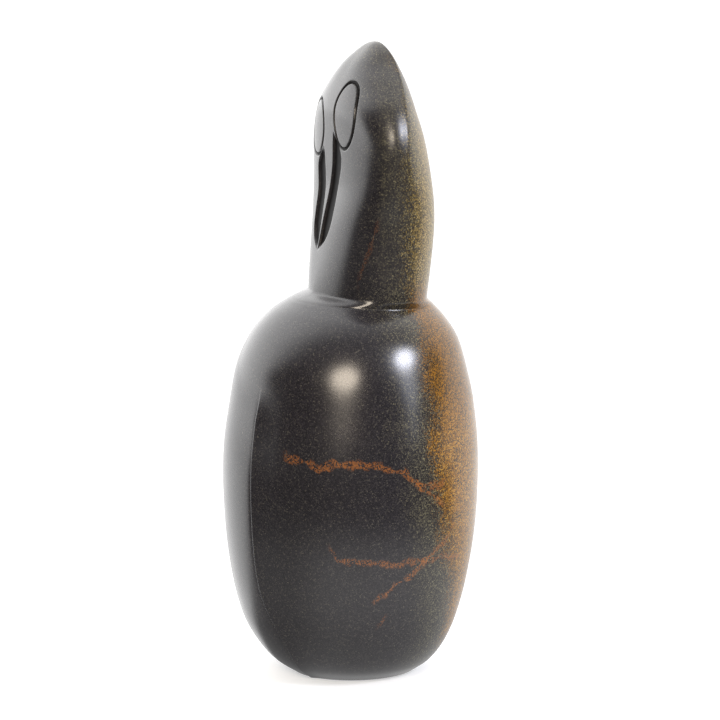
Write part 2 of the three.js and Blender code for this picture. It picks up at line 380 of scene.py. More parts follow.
@dataclass(frozen=True)
class BeakChannels:
    """The two channels that leave the beak standing, in the view from the front."""

    # height, then the inner and the outer edge across from the middle
    stations: tuple[tuple[float, ...], ...] = (
        (161.6, 0.12, 0.6),
        (163.5, 0.25, 3),
        (166.5, 0.4, 6),
        (171.5, 0.6, 8.4),
        (178, 1, 9.2),
        (185.5, 1.8, 9.6),
        (190, 2.4, 10.5),
        (194, 3.2, 11.6),
        (198, 3.8, 12),
        (202, 4.2, 10.2),
        (204, 4.3, 8),
        (207, 4.4, 5.2),
    )
    floor: float = 1.2
    end_floor: float = 0.15
    ramp: float = 5.0  # height over which the floor comes up at each end
    wall_share: float = 0.12
    wall_least: float = 0.3
    rim: float = 0.2  # how far the rounded rim runs outside the edge
    # place across the wall, from the rim's start at -1 through the edge at 0 to the floor at 1, and depth
    profile: tuple[tuple[float, float], ...] = (
        (-1, 0), (-0.4, 0.02), (0, 0.09), (0.3, 0.4), (0.8, 0.9), (1.3, 1),
    )
    floor_lines: tuple[float, ...] = (0.35, 0.5, 0.65)  # lines along the floor, as shares of the width
    point_spacing: float = 0.42
    least_width: float = 1.2  # a channel narrower than this has lines at its edges only

    def edges(self, z: Floats) -> tuple[Floats, Floats]:
        """Finds a channel's edges.

        Args:
            z: Heights.

        Returns:
            The inner and the outer edge at each height.
        """
        table = np.array(self.stations, float)
        z = np.clip(z, table[0, 0], table[-1, 0])
        return through(table[:, 0], table[:, 1], z), through(table[:, 0], table[:, 2], z)

    def _left_height(self, x: Floats, z: Floats) -> Floats:
        """Finds the left channel's heights that match places on the face, as the right one is lower.

        Args:
            x: Places across.
            z: Heights.

        Returns:
            The height at each place.
        """
        low, high = self.stations[0][0], self.stations[-1][0]
        drop = RIGHT_DROP / (high - low)
        return np.where(x > FACE_MIDDLE, z, (z - drop * low) / (1 - drop))

    def inside(self, x: Floats, z: Floats) -> Floats:
        """Measures how far points are inside the nearer channel's edge.

        Args:
            x: Their places across.
            z: Their heights.

        Returns:
            Millimetres inwards, negative outside.
        """
        z = self._left_height(x, z)
        inner, outer = self.edges(z)
        aside = np.abs(x - FACE_MIDDLE)
        across = np.minimum(aside - inner, outer - aside)
        low, high = self.stations[0][0], self.stations[-1][0]
        return np.minimum(across, np.minimum(z - low, high - z))

    def depth(self, x: Floats, z: Floats) -> Floats:
        """Measures how deep the channels are cut.

        Args:
            x: Places across.
            z: Heights.

        Returns:
            The depth at each place.
        """
        low, high = self.stations[0][0], self.stations[-1][0]
        inside = self.inside(x, z)
        z = self._left_height(x, z)
        inner, outer = self.edges(z)
        wall = np.maximum(self.wall_share * (outer - inner), self.wall_least)
        place, share = zip(*self.profile)
        across = np.where(inside < 0, inside / self.rim, inside / wall)
        ends = smooth(low, low + self.ramp, z) * (1 - smooth(high - self.ramp, high, z))
        return np.interp(across, place, share) * (self.end_floor + (self.floor - self.end_floor) * ends)

    def lines(self) -> list[Floats]:
        """Lays out the lines that the channels' shape needs, on both sides.

        Returns:
            The open lines.
        """
        low, high = self.stations[0][0], self.stations[-1][0]
        z = np.linspace(low, high, int((high - low) / self.point_spacing))
        inner, outer = self.edges(z)
        width = outer - inner
        wall = np.maximum(self.wall_share * width, self.wall_least)
        wide = width > self.least_width
        found = []
        for hand in Hand:
            height = z if hand is Hand.LEFT else z - RIGHT_DROP * (z - low) / (high - low)
            for place, _ in self.profile:
                step = place * (self.rim if place < 0 else wall)
                keep = wide | (place == 0)
                for edge in (inner + step, outer - step):
                    found.append(np.stack([FACE_MIDDLE + hand.value * edge, height], axis=-1)[keep])
            for share in self.floor_lines:
                middle = FACE_MIDDLE + hand.value * (inner + share * width)
                found.append(np.stack([middle, height], axis=-1)[wide])
        return found


@dataclass(frozen=True)
class CarvedStone:
    """The one piece: the stone with its lapping edge, ring eyes and beak channels cut."""

    form: StoneForm = StoneForm()
    lap: LapEdge = LapEdge()
    eyes: RingEye = RingEye()
    channels: BeakChannels = BeakChannels()
    foot_ease: float = 0.5  # how far the edge of the underside is eased
    foot_ease_height: float = 0.45
    region_reach: float = 0.9  # how far past a groove the fitted facets run
    line_clearance: float = 0.3  # nearest that an even facet's corner comes to a groove
    face_radius: float = 33.0  # turns times this are millimetres across the face
    body_radius: float = 48.0  # and about the body
    # The columns: millimetres from the lapping edge beside it, then the first, the last and the number of
    # those over the face, the side and the back, in degrees
    edge_columns: tuple[float, ...] = (0.13, 0.26, 0.4, 0.65, 1.0, 1.5, 2.2, 3.0)
    column_spans: tuple[tuple[float, float, int], ...] = ((5, 43.75, 32), (46, 90, 31), (91.2, 180, 50))
    # The rows: heights near the floor, the first, the last and the number over the body, the shoulder and
    # the face, and how far below the crown the last ones begin, which crowd towards it
    foot_rows: tuple[float, ...] = (0.0, 0.1, 0.25, 0.45, 0.75, 1.1, 1.5, 2.0, 2.6, 3.3, 4.1, 5.0)
    row_spans: tuple[tuple[float, float, int], ...] = ((6, 137, 112), (138, 150, 40), (150.8, 227.6, 97))
    crown_reach: float = 12.0
    crown_rows: int = 30
    crown_crowding: float = 1.9
    foot_rings: tuple[float, ...] = (0.96, 0.8, 0.6, 0.4, 0.2)  # sizes of the rings of corners under it
    face_start: float = 150.0  # above this is the head
    fitted_heights: tuple[float, float] = (155.0, 232.0)  # where facets can be fitted to grooves
    fitted_turn: float = 1.2
    ring_wall: tuple[float, float] = (0.3, 0.8)  # depths over which a groove's wall turns tooled
    channel_wall: tuple[float, float] = (0.25, 0.9)

    def turns(self) -> Floats:
        """Spaces the columns round the stone, crowded beside the lapping edge.

        Returns:
            Their turns from the edge.
        """
        beside = np.array(self.edge_columns) / self.body_radius
        half = np.concatenate([beside, *(np.radians(np.linspace(*span)) for span in self.column_spans)])
        return np.concatenate([-half[::-1], [-self.lap.wall / self.body_radius, 0.0], half[:-1]])

    def heights(self) -> Floats:
        """Spaces the rows, from the floor to just under the crown.

        Returns:
            Their heights.
        """
        left = 1 - np.arange(1, self.crown_rows) / self.crown_rows
        crown = self.form.height - self.crown_reach * left**self.crown_crowding
        return np.concatenate([self.foot_rows, *(np.linspace(*span) for span in self.row_spans), crown])

    def facets(self) -> tuple[Floats, Floats, Facets]:
        """Lays out the stone's facets: even ones, and ones fitted to the grooves on the face.

        Returns:
            Each corner's height and turn, and the facets' corners.
        """
        turns, heights = self.turns(), self.heights()
        columns, rows = len(turns), len(heights)
        turn = np.tile(turns, rows)
        height = np.repeat(heights, columns)
        fitted = self._fitted_cells(turns, heights)
        new_turn, new_height, triangles = self._fit(turns, heights, fitted)
        faces = []
        for r in range(rows - 1):
            for c in range(columns):
                if c < columns - 1 and fitted[r, c]:
                    continue
                a, b = r * columns + c, r * columns + (c + 1) % columns
                faces.append((a, b, b + columns, a + columns))
        faces.extend(triangles)
        return np.concatenate([height, new_height]), np.concatenate([turn, new_turn]), faces

    def _near(self, x: Floats, z: Floats, reach: float) -> Floats:
        """Says which places are within reach of a groove.

        Args:
            x: Places across.
            z: Heights.
            reach: How far past the groove's edge counts as near.

        Returns:
            Whether each place is near.
        """
        ring = self.eyes.profile[-1][0] + reach
        channel = self.channels.rim + reach
        return (np.abs(self.eyes.out(x, z)) < ring) | (self.channels.inside(x, z) > -channel)

    def _across(self, height: Floats, turn: Floats) -> Floats:
        """Returns the x of places on the face."""
        return self.form.head_size(1, self.form.height - height) * np.sin(turn)

    def _fitted_cells(self, turns: Floats, heights: Floats) -> Floats:
        """Finds the cells of the even layout that the grooves come near.

        Args:
            turns: The columns.
            heights: The rows.

        Returns:
            For each row and column, whether the cell is fitted to the grooves instead.
        """
        t = (turns[1:] + turns[:-1]) / 2
        h = (heights[1:] + heights[:-1]) / 2
        height, turn = np.meshgrid(h, t, indexing="ij")
        low, high = self.fitted_heights
        on_face = (height > low) & (height < high) & (np.abs(turn) < self.fitted_turn)
        return on_face & self._near(self._across(height, turn), height, self.region_reach)

    def _fit(self, turns: Floats, heights: Floats, fitted: Floats) -> tuple[Floats, Floats, Facets]:
        """Fills the fitted cells with triangles that follow the grooves' lines.

        Args:
            turns: The columns.
            heights: The rows.
            fitted: The cells to fill.

        Returns:
            The turns and heights of the new corners, and the triangles.
        """
        columns = len(turns)
        points: list[tuple[float, float]] = []
        edges: list[tuple[int, int]] = []
        names: list[int] = []
        index: dict[int, int] = {}

        def corner(r: int, c: int) -> int:
            """Finds an even layout's corner in the list of points, and adds it if it is new.

            Args:
                r: Its row.
                c: Its column.

            Returns:
                Its place in the list.
            """
            name = r * columns + c
            if name not in index:
                index[name] = len(points)
                points.append((turns[c] * self.face_radius, heights[r]))
                names.append(name)
            return index[name]

        touched = set()
        for r, c in zip(*np.nonzero(fitted)):
            touched.update({(r, c), (r, c + 1), (r + 1, c), (r + 1, c + 1)})
            sides = (((r, c), (r, c + 1), (r - 1, c)), ((r + 1, c), (r + 1, c + 1), (r + 1, c)),
                     ((r, c), (r + 1, c), (r, c - 1)), ((r, c + 1), (r + 1, c + 1), (r, c + 1)))
            for a, b, beyond in sides:
                if not fitted[beyond]:
                    edges.append((corner(*a), corner(*b)))
        inner = [rc for rc in sorted(touched) if rc[0] * columns + rc[1] not in index]
        spots = np.array([(turns[c], heights[r]) for r, c in inner])
        clear = ~self._near(self._across(spots[:, 1], spots[:, 0]), spots[:, 1], self.line_clearance)
        for (r, c), free in zip(inner, clear):
            if free:
                corner(r, c)
        cuts = [(line, True) for line in self.eyes.lines()]
        cuts += [(line, False) for line in self.channels.lines()]
        for line, closed in cuts:
            side = self.form.head_size(1, self.form.height - line[:, 1])
            start = len(points)
            points.extend(zip(np.arcsin(line[:, 0] / side) * self.face_radius, line[:, 1]))
            names.extend([-1] * len(line))
            edges.extend((start + i, start + i + 1) for i in range(len(line) - 1))
            if closed:
                edges.append((start + len(line) - 1, start))
        verts, _, triangles, origins, *_ = delaunay_2d_cdt([Vector(p) for p in points], edges, [], 0, 1e-5)
        name_of, new_turn, new_height = [], [], []
        total = columns * len(heights)
        for vert, origin in zip(verts, origins):
            known = [names[i] for i in origin if names[i] >= 0]
            if known:
                name_of.append(known[0])
            else:
                name_of.append(total + len(new_turn))
                new_turn.append(vert.x / self.face_radius)
                new_height.append(vert.y)
        kept = []
        rows, cols = fitted.shape
        for triangle in triangles:
            t = sum(verts[i].x for i in triangle) / 3 / self.face_radius
            h = sum(verts[i].y for i in triangle) / 3
            r, c = int(np.searchsorted(heights, h)) - 1, int(np.searchsorted(turns, t)) - 1
            if 0 <= r < rows and 0 <= c < cols and fitted[r, c]:
                kept.append(tuple(name_of[i] for i in triangle))
        return np.array(new_turn), np.array(new_height), kept

    def surface(self, height: Floats, turn: Floats) -> tuple[Floats, Floats]:
        """Lifts corners onto the carved stone.

        Args:
            height: Their heights above the floor.
            turn: Their turns from the lapping edge.

        Returns:
            Their places, and how far each is from polished, 0, to tooled, 1.
        """
        angle = self.lap.angle(self.form, height) + turn
        place = self.form.point(height, angle)
        x, z = place[:, 0], height
        front = (np.cos(turn) > 0) & (height > self.face_start)
        ring = np.where(front, self.eyes.depth(x, z), 0.0)
        channel = np.where(front, self.channels.depth(x, z), 0.0)
        place -= self.form.outward(height, angle) * np.maximum(ring, channel)[:, None]
        radius = np.hypot(place[:, 0], place[:, 1])
        ease = self.foot_ease * np.clip(1 - height / self.foot_ease_height, 0.0, 1.0) ** 2
        out = np.where(height < self.face_start, self.lap.step(height, turn, radius) - ease, 0.0)
        place[:, :2] *= (1 + out / np.maximum(radius, 1.0))[:, None]
        tooled = np.maximum(smooth(*self.ring_wall, ring), smooth(*self.channel_wall, channel))
        return place, tooled

    def build(self) -> bpy.types.Object:
        """Makes the carved stone's mesh inside the solid's box, and links it.

        Returns:
            The new object.
        """
        height, turn, faces = self.facets()
        place, tooled = self.surface(height, turn)
        columns = len(self.turns())
        beside = [(c + 1) % columns for c in range(columns)]
        top = (len(self.heights()) - 1) * columns
        faces += [(top + c, top + n, len(place)) for c, n in enumerate(beside)]
        place = np.vstack([place, [(0.0, self.form.head[0][2], self.form.height)]])
        tooled = np.append(tooled, 0.0)
        edge, last = place[:columns].copy(), list(range(columns))
        middle = edge.mean(axis=0)
        for share in self.foot_rings:
            start = len(place)
            place = np.vstack([place, middle + (edge - middle) * share])
            tooled = np.append(tooled, np.ones(columns))
            ring = list(range(start, start + columns))
            faces += [(last[n], last[c], ring[c], ring[n]) for c, n in enumerate(beside)]
            last = ring
        faces += [(last[n], last[c], len(place)) for c, n in enumerate(beside)]
        place = np.vstack([place, middle])
        tooled = np.append(tooled, 1.0)
        used = np.unique(np.concatenate([np.array(f) for f in faces]))
        rename = np.full(len(place), -1)
        rename[used] = np.arange(len(used))
        place, tooled = self._into_box(place[used]), tooled[used]
        mesh = bpy.data.meshes.new("carved_stone")
        mesh.from_pydata(place * MM, [], [tuple(int(rename[i]) for i in f) for f in faces])
        mesh.attributes.new("tooled", "FLOAT", "POINT").data.foreach_set("value", tooled.astype(np.float32))
        mesh.shade_smooth()
        stone = bpy.data.objects.new("carved_stone", mesh)
        bpy.context.scene.collection.objects.link(stone)
        return stone

    def _into_box(self, place: Floats) -> Floats:
        """Centres the stone on the solid's box and keeps it inside.

        Args:
            place: The corners' places.

        Returns:
            The places moved, and drawn in where the smooth form stands outside the flat facets' box.
        """
        low, high = (np.array(c) / MM for c in CAD_BOX)
        own_low, own_high = place.min(axis=0), place.max(axis=0)
        scale = np.minimum((high - low) / (own_high - own_low), 1.0)
        shift, target = (own_high + own_low) / 2, (high + low) / 2
        shift[2], target[2] = own_low[2], low[2]
        return (place - shift) * scale + target


def linear(hex_colour: str) -> tuple[float, float, float, float]:
    """Turns an sRGB hex colour into Blender's linear one.

    Args:
        hex_colour: Six hex digits after a hash.

    Returns:
        Red, green, blue and an alpha of 1.
    """
    values = [int(hex_colour[i : i + 2], 16) / 255 for i in (1, 3, 5)]
    r, g, b = (v / 12.92 if v <= 0.04045 else ((v + 0.055) / 1.055) ** 2.4 for v in values)
    return r, g, b, 1.0


class Kind(Enum):
    """The kinds of node that come with a setting: the type, the setting and its value."""

    PLUS = ("ShaderNodeMath", "operation", "ADD")
    LESS = ("ShaderNodeMath", "operation", "SUBTRACT")
    TIMES = ("ShaderNodeMath", "operation", "MULTIPLY")
    TIMES_PLUS = ("ShaderNodeMath", "operation", "MULTIPLY_ADD")
    OVER = ("ShaderNodeMath", "operation", "DIVIDE")
    LARGER = ("ShaderNodeMath", "operation", "MAXIMUM")
    UNSIGNED = ("ShaderNodeMath", "operation", "ABSOLUTE")
    SCALED = ("ShaderNodeVectorMath", "operation", "SCALE")
    ALONG = ("ShaderNodeVectorMath", "operation", "DOT_PRODUCT")
    LENGTH = ("ShaderNodeVectorMath", "operation", "LENGTH")
    HEADING = ("ShaderNodeVectorMath", "operation", "NORMALIZE")
    EASED = ("ShaderNodeMapRange", "interpolation_type", "SMOOTHSTEP")
    ABOVE = ("FunctionNodeCompare", "operation", "GREATER_THAN")
    SEEDED_NOISE = ("ShaderNodeTexNoise", "noise_dimensions", "4D")
    BLEND = ("ShaderNodeMix", "data_type", "FLOAT")
    COLOUR_BLEND = ("ShaderNodeMix", "data_type", "RGBA")
    TOOLED_SHARE = ("ShaderNodeAttribute", "attribute_name", "tooled")


def add(tree: bpy.types.NodeTree, kind: Kind | str, *values: object, **named: object) -> bpy.types.Node:
    """Adds a node with its setting and links.

    Args:
        tree: The tree that it goes in.
        kind: Its kind, or its type where that has no setting.
        values: What each input in use gets, in turn: a value, an output, or a node whose first output it is.
        named: The same, for inputs by name.

    Returns:
        The new node.
    """
    type_name, *setting = kind.value if isinstance(kind, Kind) else (kind,)
    node = tree.nodes.new(type_name)
    if setting:
        setattr(node, *setting)
    in_use = [socket for socket in node.inputs if socket.enabled]
    for socket, value in [*zip(in_use, values), *((node.inputs[name], named[name]) for name in named)]:
        if isinstance(value, bpy.types.Node):
            value = next(output for output in value.outputs if output.enabled)
        if isinstance(value, bpy.types.NodeSocket):
            tree.links.new(value, socket)
        else:
            socket.default_value = value
    return node


class Fade(NamedTuple):
    """A smooth change from one value to another, while something else goes from low to high."""

    low: float
    high: float
    start: float = 0.0
    end: float = 1.0


@dataclass(frozen=True)
class ChiselAndPolish:
    """What the hand leaves: the chisel's strokes where the stone isn't polished, and ripples where it is."""

    stroke_pitch: float = 0.9
    stroke_depth: float = 0.14
    ripple_size: float = 11.0
    ripple_height: float = 0.05
    seed: float = 4.0
    flat_height: float = 0.5  # the underside stays flat up to here, because the carving stands on it

    def sizes(self) -> dict[str, float]:
        """Returns the value of each of the tree's inputs."""
        return {name.replace("_", " ").capitalize(): value for name, value in vars(self).items()}

    def tree(self) -> bpy.types.NodeTree:
        """Builds the Geometry Nodes tree, with its sizes as inputs.

        Returns:
            The tree.
        """
        tree = bpy.data.node_groups.new("chisel_and_polish", "GeometryNodeTree")
        node = partial(add, tree)
        sockets = [("Geometry", "INPUT", "Geometry")]
        sockets += [(name, "INPUT", "Float") for name in self.sizes()]
        sockets += [("Finish", "INPUT", "Material"), ("Geometry", "OUTPUT", "Geometry")]
        for name, in_out, kind in sockets:
            tree.interface.new_socket(name, in_out=in_out, socket_type=f"NodeSocket{kind}")
        given = node("NodeGroupInput").outputs
        place = node("GeometryNodeInputPosition")
        pitch = node(Kind.OVER, 1 / MM, given["Stroke pitch"])
        size = node(Kind.OVER, 1 / MM, given["Ripple size"])
        strokes = node(Kind.SEEDED_NOISE, place, given["Seed"], pitch, Detail=1.0)
        ripple = node(Kind.SEEDED_NOISE, place, given["Seed"], size, Detail=0.0)
        tooled = node("GeometryNodeInputNamedAttribute", "tooled")
        cut = node(Kind.TIMES, node(Kind.TIMES, strokes, given["Stroke depth"]), tooled)
        deep = node(Kind.TIMES, node(Kind.TIMES_PLUS, ripple, given["Ripple height"], cut), -MM)
        move = node(Kind.SCALED, node("GeometryNodeInputNormal"), deep)
        height = node("ShaderNodeSeparateXYZ", place).outputs["Z"]
        above = node(Kind.ABOVE, height, node(Kind.TIMES, given["Flat height"], MM))
        moved = node("GeometryNodeSetPosition", Geometry=given["Geometry"], Selection=above, Offset=move)
        real = node("GeometryNodeRealizeInstances", moved)
        node("NodeGroupOutput", node("GeometryNodeSetMaterial", Geometry=real, Material=given["Finish"]))
        return tree

    def work(self, stone: bpy.types.Object, finish: bpy.types.Material) -> None:
        """Works the stone over and leaves it a plain mesh.

        Args:
            stone: The carved stone.
            finish: Its material.
        """
        tree = self.tree()
        modifier = stone.modifiers.new("chisel_and_polish", "NODES")
        modifier.node_group = tree
        values = {**self.sizes(), "Finish": finish}
        for socket in tree.interface.items_tree:
            if socket.name in values:
                modifier[socket.identifier] = values[socket.name]
        stone.update_tag()
        bpy.context.view_layer.update()
        worked = bpy.data.meshes.new_from_object(stone.evaluated_get(bpy.context.evaluated_depsgraph_get()))
        stone.modifiers.remove(modifier)
        stone.data = worked
        worked.name = "carved_stone"
        worked.shade_smooth()


@dataclass(frozen=True)
class Grains:
    """The colours of one sort of grain, by each grain's place between the darkest, 0, and the lightest, 1."""

    colours: tuple[tuple[float, str], ...]

    def tint(self, tree: bpy.types.NodeTree, place: object) -> bpy.types.Node:
        """Gives each grain its colour.

        Args:
            tree: The material's tree.
            place: Each grain's place between the darkest and the lightest.

        Returns:
            The node that gives the colour.
        """
        ramp = add(tree, "ShaderNodeValToRGB", place)
        stops = ramp.color_ramp.elements
        for at, _ in self.colours[2:]:
            stops.new(at)
        for stop, (at, colour) in zip(stops, self.colours):
            stop.position, stop.color = at, linear(colour)
        return ramp


@dataclass(frozen=True)
class Vein:
    """A rust-coloured sheet through the stone, which shows as a line on the left side."""

    name: str
    # place along the picture's right in millimetres from the middle, and height
    course: tuple[tuple[float, float], ...]
    width: float
    strength: float
    core: float = 0.3  # share of the width within which it is whole
    span: float = 100.0  # the width that the line's curve covers
    fade_in: tuple[float, float] = (-1.0, 2.0)  # from and to how far past the first end of the course
    fade_out: tuple[float, float] = (-1.0, 1.0)  # and past the last

    def line(self, tree: bpy.types.NodeTree, across: object, height: object, swell: object) -> bpy.types.Node:
        """Draws the vein's line.

        Args:
            tree: The material's tree.
            across: The place along the picture's right.
            height: The height, made to wander a little.
            swell: How much wider the vein is here.

        Returns:
            The node that gives the vein's share of the colour.
        """
        node = partial(add, tree)
        curve = node("ShaderNodeFloatCurve", Value=node(Kind.TIMES_PLUS, across, 1 / self.span, 0.5))
        curve.label = self.name
        line = curve.mapping.curves[0]
        points = [(s / self.span + 0.5, z / StoneForm.height) for s, z in self.course]
        line.points[0].location, line.points[-1].location = points[0], points[-1]
        for point in points[1:-1]:
            line.points.new(*point)
        for point in line.points:
            point.handle_type = "VECTOR"
        curve.mapping.update()
        off = node(Kind.UNSIGNED, node(Kind.TIMES_PLUS, curve, -StoneForm.height, height))
        seam = node(Kind.EASED, node(Kind.OVER, off, swell), self.core * self.width, self.width, 1.0, 0.0)
        begun = node(Kind.EASED, across, *(self.course[0][0] + past for past in self.fade_in))
        ends = (self.course[-1][0] + past for past in self.fade_out)
        going = node(Kind.EASED, across, *ends, self.strength, 0.0)
        return node(Kind.TIMES, node(Kind.TIMES, seam, begun), going)


@dataclass(frozen=True)
class PolishedSoapstone:
    """Black soapstone, rubbed with finer and finer grit and waxed.

    The wax gives a clear, slightly soft shine over fine grey and olive grains, and the block's weathered
    ochre rind is left on one side.
    """

    black: Grains = Grains(
        ((0.0, "#171518"), (0.5, "#211e22"), (0.8, "#2b282b"), (0.95, "#383533"), (1.0, "#4b4741"))
    )
    olive: Grains = Grains(
        ((0.0, "#1c1a18"), (0.4, "#302c27"), (0.7, "#474337"), (0.9, "#656049"), (1.0, "#807a5c"))
    )
    rind: Grains = Grains(
        ((0.0, "#241806"), (0.25, "#4e3508"), (0.5, "#734b08"), (0.8, "#93640f"), (1.0, "#ac8130"))
    )
    gold: Grains = Grains(
        ((0.0, "#2a2210"), (0.25, "#54461c"), (0.5, "#776530"), (0.8, "#988246"), (1.0, "#b8a36c"))
    )
    rust: str = "#8c5628"
    dust: str = "#0c0b0b"  # dark polishing paste left in the grooves, and painted shade in these hollows
    dust_cover: float = 0.9
    grain: float = 0.4  # millimetres across one grain
    cloud_size: float = 14.0
    wisp_size: float = 3.5
    patch_size: float = 5.0

    facing: float = 68.0  # degrees round from the front to the side that the veins show on
    rind_turn: float = 20.0  # degrees further round that the rind faces
    # Where the rind starts, by height, and how far the clouds and the single grains bring it forward
    rind_edge: Fade = Fade(20.0, 110.0, 38.2, 26.5)
    rind_clouds: float = 14.0
    rind_grains: float = 7.0
    rind_in: Fade = Fade(-4.0, 5.0)
    rind_on_head: Fade = Fade(144.0, 156.0, 1.0, 0.5)
    shoulder_brown: Fade = Fade(92.0, 118.0, 0.0, 0.25)  # the rind is a deeper brown up on the shoulder
    shoulder_end: Fade = Fade(144.0, 156.0, 1.0, 0.0)
    olive_in: Fade = Fade(-22.0, -4.0)  # the olive grains thicken towards the rind
    olive_on_side: Fade = Fade(8.5, 13.0)  # and on the side of the head
    olive_up_head: Fade = Fade(158.0, 172.0)
    olive_cover: Fade = Fade(144.0, 156.0, 0.7, 0.45)
    gold_in: Fade = Fade(24.0, 34.0, 0.0, 0.75)  # gold grains thicken beyond the head's side ridge
    gold_grains: float = 10.0
    head_in: Fade = Fade(144.0, 156.0)

    vein_wander: float = 2.6
    vein_swell: Fade = Fade(0.3, 0.65, 0.25, 1.45)  # the veins swell and pinch out along their way
    vein_crumble: Fade = Fade(0.7, 1.3)
    vein_side: Fade = Fade(2.0, 10.0)
    veins: tuple[Vein, ...] = (
        Vein("upper", ((-24.6, 90.2), (-19.6, 89.2), (-15.2, 88.7), (-11.7, 85.9), (-6.1, 88.9),
                       (-0.8, 88.4), (7.1, 88.2), (13.7, 86.4), (20, 84.4), (25.6, 79.4), (32.8, 77.9),
                       (35.1, 80.1)), 1.9, 0.8),
        Vein("branch", ((23.4, 81.6), (25.6, 79.4), (29.8, 75.4), (34.4, 71.4)), 1.6, 0.8),
        Vein("lower", ((-7.7, 56.9), (-4.9, 52.3), (0.6, 51.8), (7.1, 51.6), (15, 50.1), (23.4, 50.8),
                       (33.6, 50.6), (40.7, 49.1)), 1.5, 0.65),
        Vein("rising", ((8.3, 35.8), (13.8, 39.6), (17.5, 42.8), (22.5, 44.8), (25, 48.1), (30.2, 52.1),
                        (35.5, 56.9), (38.6, 62.6)), 1.7, 0.7),
        Vein("dash", ((9.8, 26), (13.1, 29.6)), 1.2, 0.5),
        Vein("cheek", ((2.8, 153), (10.4, 175)), 4.0, 0.22),
    )

    ior: float = 1.57
    roughness: float = 0.19  # where the polish is clearest, and what its clouds add
    clouded: float = 0.1
    side_rough: Fade = Fade(8.0, 14.0, 0.0, 0.1)  # the olive side of the head took less of the polish
    tooled_roughness: float = 0.5
    specular: float = 0.5
    tooled_dulling: float = 0.42  # how much of that level the unwaxed grooves lose

    def material(self) -> bpy.types.Material:
        """Builds the material.

        Returns:
            The material.
        """
        material = bpy.data.materials.new("polished_soapstone")
        material.use_nodes = True
        tree = material.node_tree
        tree.nodes.clear()
        node = partial(add, tree)
        right, rind_way = math.radians(self.facing), math.radians(self.facing + self.rind_turn)
        place = node(Kind.SCALED, node("ShaderNodeTexCoord").outputs["Object"], 1 / MM)
        z = node("ShaderNodeSeparateXYZ", place).outputs["Z"]
        across = node(Kind.ALONG, place, (math.cos(right), math.sin(right), 0.0))
        towards = node(Kind.ALONG, place, (math.sin(right), -math.cos(right), 0.0))
        rindward = node(Kind.ALONG, place, (math.cos(rind_way), math.sin(rind_way), 0.0))
        cells = node("ShaderNodeTexVoronoi", Vector=place, Scale=1 / self.grain).outputs["Color"]
        cell = node("ShaderNodeSeparateColor", cells).outputs
        cloud, wisp, patch = (
            node("ShaderNodeTexNoise", Vector=place, Scale=1 / size, Detail=detail)
            for size, detail in ((self.cloud_size, 4.0), (self.wisp_size, 3.0), (self.patch_size, 1.0))
        )
        on_head = node(Kind.EASED, z, *self.head_in)

        # The rind's edge slants down one side and breaks up grain by grain
        depth = node(Kind.LESS, rindward, node(Kind.EASED, z, *self.rind_edge))
        depth = node(Kind.TIMES_PLUS, cloud, self.rind_clouds, depth)
        depth = node(Kind.TIMES_PLUS, cell["Green"], self.rind_grains, depth)
        lower = node(Kind.EASED, z, *self.rind_on_head)
        rind_share = node(Kind.TIMES, node(Kind.EASED, depth, *self.rind_in), lower)
        up_head = node(Kind.EASED, z, *self.olive_up_head)
        side = node(Kind.TIMES, node(Kind.EASED, across, *self.olive_on_side), up_head)
        olive_share = node(Kind.LARGER, node(Kind.EASED, depth, *self.olive_in), side)
        olive_share = node(Kind.TIMES, olive_share, node(Kind.EASED, z, *self.olive_cover))
        beyond = node(Kind.TIMES_PLUS, cell["Green"], self.gold_grains, across)
        gold_share = node(Kind.TIMES, node(Kind.EASED, beyond, *self.gold_in), on_head)
        shoulder = node(Kind.EASED, z, *self.shoulder_end)
        brown = node(Kind.TIMES, node(Kind.EASED, z, *self.shoulder_brown), shoulder)
        tone = node(Kind.TIMES, cell["Red"], node(Kind.LESS, 1.0, brown))
        layers = [
            (olive_share, self.olive.tint(tree, cell["Red"])),
            (rind_share, self.rind.tint(tree, tone)),
            (gold_share, self.gold.tint(tree, cell["Red"])),
        ]

        wander = node(Kind.TIMES_PLUS, wisp, self.vein_wander, -self.vein_wander / 2)
        height = node(Kind.PLUS, z, wander)
        swell = node(Kind.EASED, patch, *self.vein_swell)
        crumble = node(Kind.EASED, node(Kind.PLUS, cell["Blue"], wisp), *self.vein_crumble)
        shown = node(Kind.TIMES, crumble, node(Kind.EASED, towards, *self.vein_side))
        for vein in self.veins:
            line = vein.line(tree, across, height, swell)
            layers.append((node(Kind.TIMES, line, shown), linear(self.rust)))

        tooled = node(Kind.TOOLED_SHARE).outputs["Fac"]
        # The grooves and the underside go near-black: dark paste, and painted shade in the hollows
        layers.append((node(Kind.TIMES, tooled, self.dust_cover), linear(self.dust)))
        colour = self.black.tint(tree, cell["Red"])
        for share, layer in layers:
            colour = node(Kind.COLOUR_BLEND, share, colour, layer)

        polish = node(Kind.TIMES_PLUS, cloud, self.clouded, self.roughness)
        polish = node(Kind.TIMES_PLUS, node(Kind.EASED, across, *self.side_rough), on_head, polish)
        rough = node(Kind.BLEND, tooled, polish, self.tooled_roughness)
        shine = node(Kind.TIMES_PLUS, tooled, -self.tooled_dulling, self.specular)
        finish = {"Base Color": colour, "Roughness": rough, "IOR": self.ior, "Specular IOR Level": shine}
        node("ShaderNodeOutputMaterial", Surface=node("ShaderNodeBsdfPrincipled", **finish))
        return material


@dataclass(frozen=True)
class SoftLight:
    """A soft studio light that looks at the carving."""

    name: str
    azimuth: float  # degrees round from the front, as the camera's
    elevation: float
    width: float
    height: float
    power: float
    colour: str
    distance: float = 1500.0


